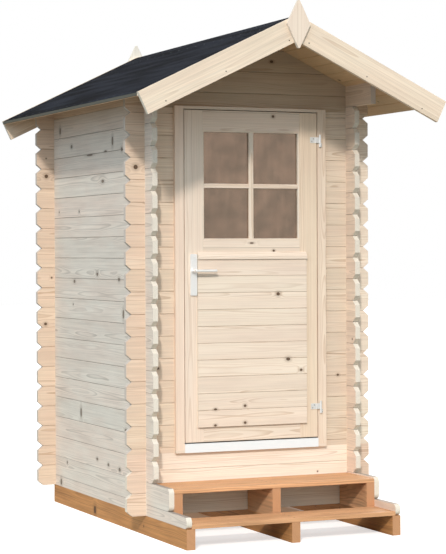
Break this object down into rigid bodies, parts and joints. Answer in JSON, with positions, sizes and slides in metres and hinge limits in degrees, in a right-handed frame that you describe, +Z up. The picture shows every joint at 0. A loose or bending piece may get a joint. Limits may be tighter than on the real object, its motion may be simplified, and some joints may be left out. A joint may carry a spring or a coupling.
{
  "type": "log cabin garden shed",
  "caption": "Small log-built garden shed with interlocking corners, a gabled felt roof with deep front overhang, a half-glazed hinged door and broad wooden steps.",
  "frame": {"origin": "ground level in line with the outer face of the front wall, midway between the side walls, on the underside of the middle joist", "axes": "+X to the right seen from the front, +Y from the front wall towards the back wall, +Z up"},
  "size_m": [1.683, 2.251, 2.6818],
  "materials": {
    "spruce": "planed bare spruce",
    "treated_wood": "brown pressure-treated pine",
    "felt": "mineral bitumen felt",
    "glass": "clear float glass",
    "white_metal": "white powder coat",
    "hinge_steel": "zinc plated",
    "handle_metal": "satin anodised"
  },
  "bodies": {
    "shed": {"joist_left": "treated_wood", "joist_middle": "treated_wood", "joist_right": "treated_wood", "floor_bearers": "spruce", "floor_boards": "spruce", "left_sill_log": "spruce", "right_sill_log": "spruce", "left_step_log": "spruce", "right_step_log": "spruce", "left_wall": "spruce", "right_wall": "spruce", "left_eaves_log": "spruce", "right_eaves_log": "spruce", "front_wall_base": "spruce", "front_wall_left": "spruce", "front_wall_right": "spruce", "front_gable": "spruce", "back_wall": "spruce", "ridge_beam": "spruce", "roof_boards_left": "spruce", "roof_boards_right": "spruce", "roof_felt": "felt", "barge_front_left": "spruce", "barge_front_right": "spruce", "barge_rear_left": "spruce", "barge_rear_right": "spruce", "finial_front": "spruce", "finial_rear": "spruce", "door_jamb_left": "spruce", "door_jamb_right": "spruce", "door_head": "spruce", "door_sill": "spruce", "threshold_strip": "white_metal", "lower_step": "treated_wood", "upper_step": "treated_wood", "upper_step_bearers": "treated_wood", "hinge_pins": "hinge_steel"},
    "door": {"hinge_leaves": "hinge_steel", "door_leaf": "spruce", "door_panel": "spruce", "door_ledge": "spruce", "door_glass": "glass", "handle_plates": "handle_metal"},
    "lever": {"door_lever": "handle_metal"}
  },
  "joints": [
    {"name": "door_swing", "type": "hinge", "parent": "shed", "child": "door", "pos_m": [0.394, -0.0265, 1.3], "axis": [0, 0, 1], "range_deg": [0, 110]},
    {"name": "lever_turn", "type": "hinge", "parent": "door", "child": "lever", "pos_m": [-0.331, 0, 1.347], "axis": [0, 1, 0], "range_deg": [0, 45], "stiffness_Nm_per_rad": 1.2, "springref_deg": -20.05}
  ]
}
